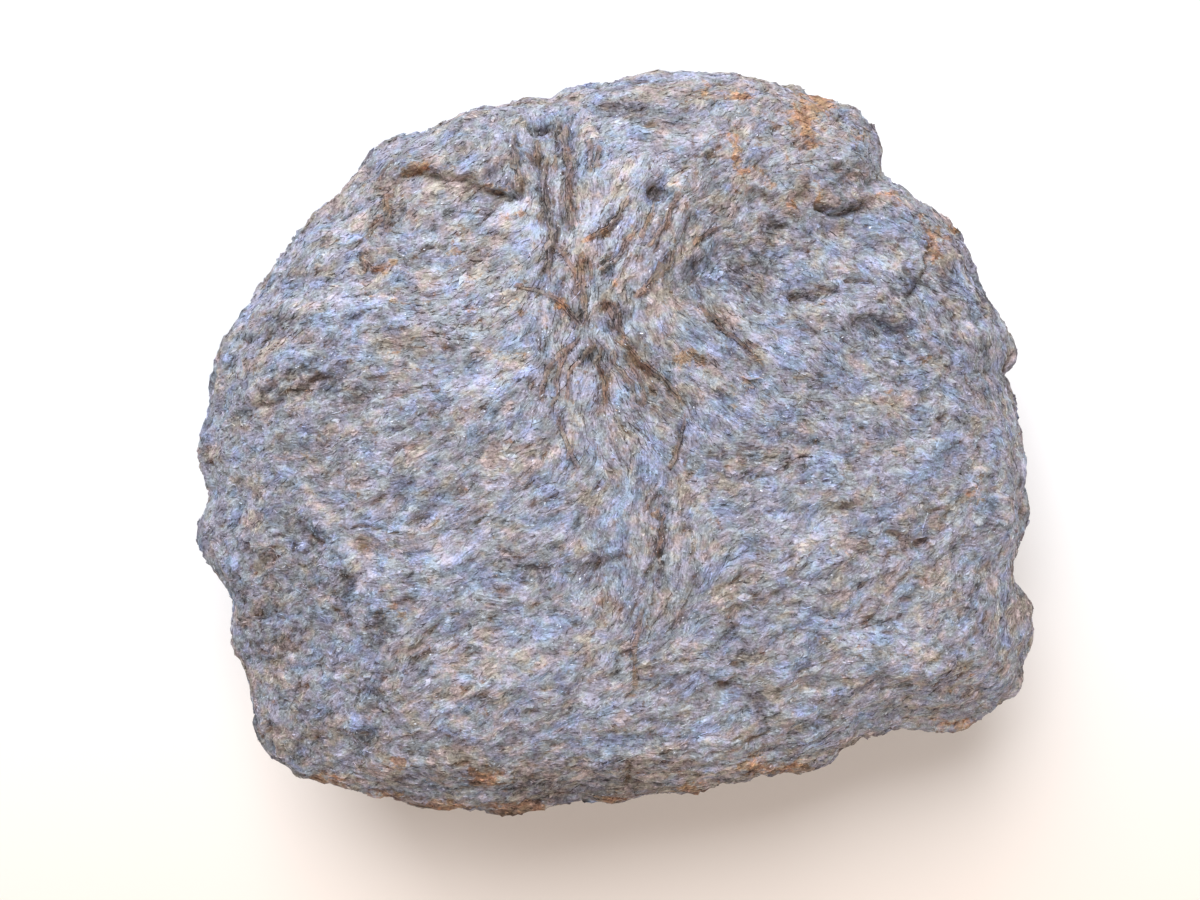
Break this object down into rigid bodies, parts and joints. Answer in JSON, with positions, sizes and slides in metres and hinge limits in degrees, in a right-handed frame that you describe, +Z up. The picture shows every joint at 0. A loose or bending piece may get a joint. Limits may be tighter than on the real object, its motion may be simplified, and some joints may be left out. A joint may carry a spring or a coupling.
{
  "type": "mica schist hand specimen",
  "caption": "Rounded, flattened stone of foliated mica schist with a crumpled fold on its upper face; it lies on a small flat spot.",
  "frame": {"origin": "middle of the stone's box at the level of the flat spot it lies on", "axes": "+X along the stone's length, from the thick end to the thin end; +Y across it, away from the picture's near edge; +Z up, through its thickness"},
  "size_m": [0.094, 0.082, 0.033],
  "materials": {
    "schist": "grey-lavender foliated rock with silvery and bluish mica glints, brown iron staining in the grooves and a little orange rust"
  },
  "bodies": {
    "root": {"mica_schist": "schist"}
  },
  "joints": []
}
